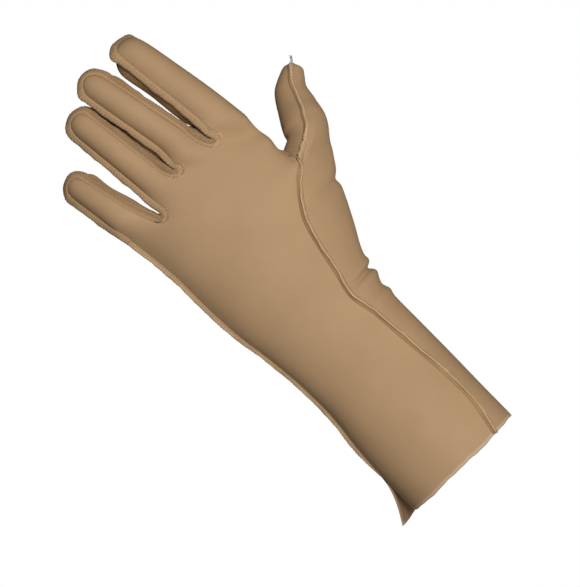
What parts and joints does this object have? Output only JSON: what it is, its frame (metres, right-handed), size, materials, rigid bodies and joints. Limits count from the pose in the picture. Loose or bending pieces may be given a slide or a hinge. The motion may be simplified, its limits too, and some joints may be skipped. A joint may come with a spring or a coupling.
{
  "type": "compression glove",
  "caption": "Full-finger compression glove for the left hand, reaching over the wrist, with elastic cloth panels joined by raised outside seams and open at the cuff.",
  "frame": {"origin": "centre of the cuff opening, in the plane of the hem", "axes": "+Z from the cuff to the fingertips, +X to the thumb side, -Y out of the back of the hand"},
  "size_m": [0.1263, 0.06, 0.2599],
  "materials": {
    "glove_cloth": "smooth matt elastic knit, tan",
    "seam_cloth": "overlocked cloth edge with tan thread"
  },
  "bodies": {
    "root": {"back_panel": "glove_cloth", "palm_panel": "glove_cloth", "thumb_panel": "glove_cloth", "seam_outer_side": "seam_cloth", "seam_little": "seam_cloth", "seam_ring": "seam_cloth", "seam_middle": "seam_cloth", "seam_index": "seam_cloth", "seam_thumb": "seam_cloth", "seam_wrist": "seam_cloth"}
  },
  "joints": []
}
